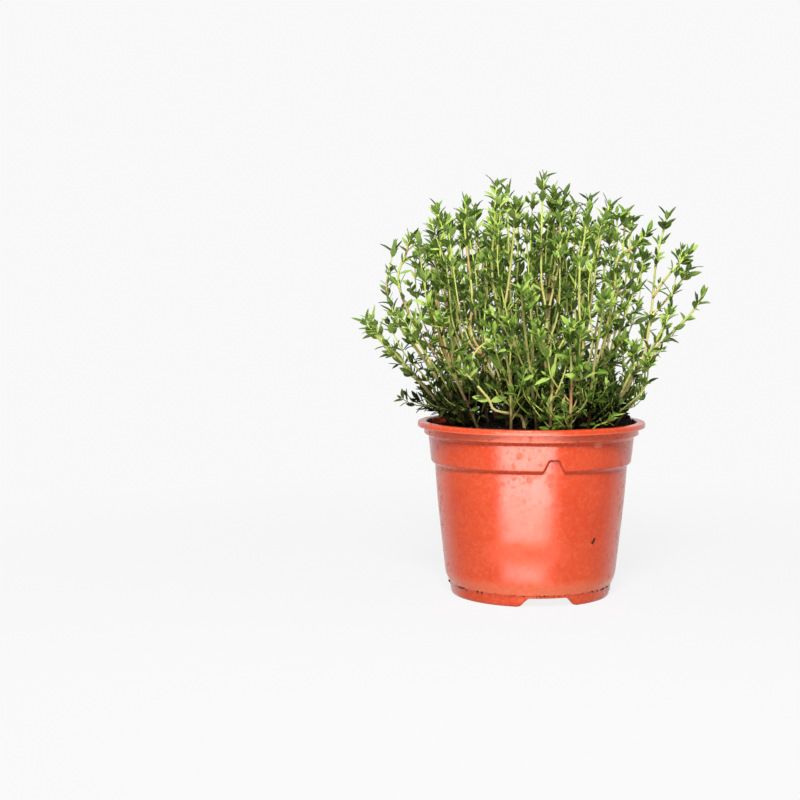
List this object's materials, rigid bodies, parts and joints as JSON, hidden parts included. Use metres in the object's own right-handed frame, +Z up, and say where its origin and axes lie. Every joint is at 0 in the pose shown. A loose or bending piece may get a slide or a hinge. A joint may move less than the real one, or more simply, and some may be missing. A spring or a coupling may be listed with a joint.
{
  "type": "potted thyme plant",
  "caption": "Bushy thyme plant with slender upright leafy stems in a round tapered plastic nursery pot filled with dark soil.",
  "frame": {"origin": "centre of the pot's base, on the surface that the pot stands on", "axes": "+Z up along the pot's axis, -Y towards the front, where the picture was taken from, +X to the right"},
  "size_m": [0.1883, 0.1589, 0.2241],
  "materials": {
    "pot": "satin",
    "soil": "matte",
    "thyme_leaf": "satin",
    "thyme_stem": "matte"
  },
  "bodies": {
    "root": {"pot": "pot", "soil": "soil", "thyme_stem_01": "thyme_leaf", "thyme_stem_02": "thyme_leaf", "thyme_stem_03": "thyme_leaf", "thyme_stem_04": "thyme_leaf", "thyme_stem_05": "thyme_leaf", "thyme_stem_06": "thyme_leaf", "thyme_stem_07": "thyme_leaf", "thyme_stem_08": "thyme_leaf", "thyme_stem_09": "thyme_leaf", "thyme_stem_10": "thyme_leaf", "thyme_stem_11": "thyme_leaf", "thyme_stem_12": "thyme_leaf", "thyme_stem_13": "thyme_leaf", "thyme_stem_14": "thyme_leaf", "thyme_stem_15": "thyme_leaf", "thyme_stem_16": "thyme_leaf", "thyme_stem_17": "thyme_leaf", "thyme_stem_18": "thyme_leaf", "thyme_stem_19": "thyme_leaf", "thyme_stem_20": "thyme_leaf", "thyme_stem_21": "thyme_leaf", "thyme_stem_22": "thyme_leaf", "thyme_stem_23": "thyme_leaf", "thyme_stem_24": "thyme_leaf", "thyme_stem_25": "thyme_leaf", "thyme_stem_26": "thyme_leaf", "thyme_stem_27": "thyme_leaf", "thyme_stem_28": "thyme_leaf", "thyme_stem_29": "thyme_leaf", "thyme_stem_30": "thyme_leaf", "thyme_stem_31": "thyme_leaf", "thyme_stem_32": "thyme_leaf", "thyme_stem_33": "thyme_leaf", "thyme_stem_34": "thyme_leaf", "thyme_stem_35": "thyme_leaf", "thyme_stem_36": "thyme_leaf", "thyme_stem_37": "thyme_leaf", "thyme_stem_38": "thyme_leaf", "thyme_stem_39": "thyme_leaf", "thyme_stem_40": "thyme_leaf", "thyme_stem_41": "thyme_leaf", "thyme_stem_42": "thyme_leaf", "thyme_stem_43": "thyme_leaf", "thyme_stem_44": "thyme_leaf", "thyme_stem_45": "thyme_leaf"}
  },
  "joints": []
}
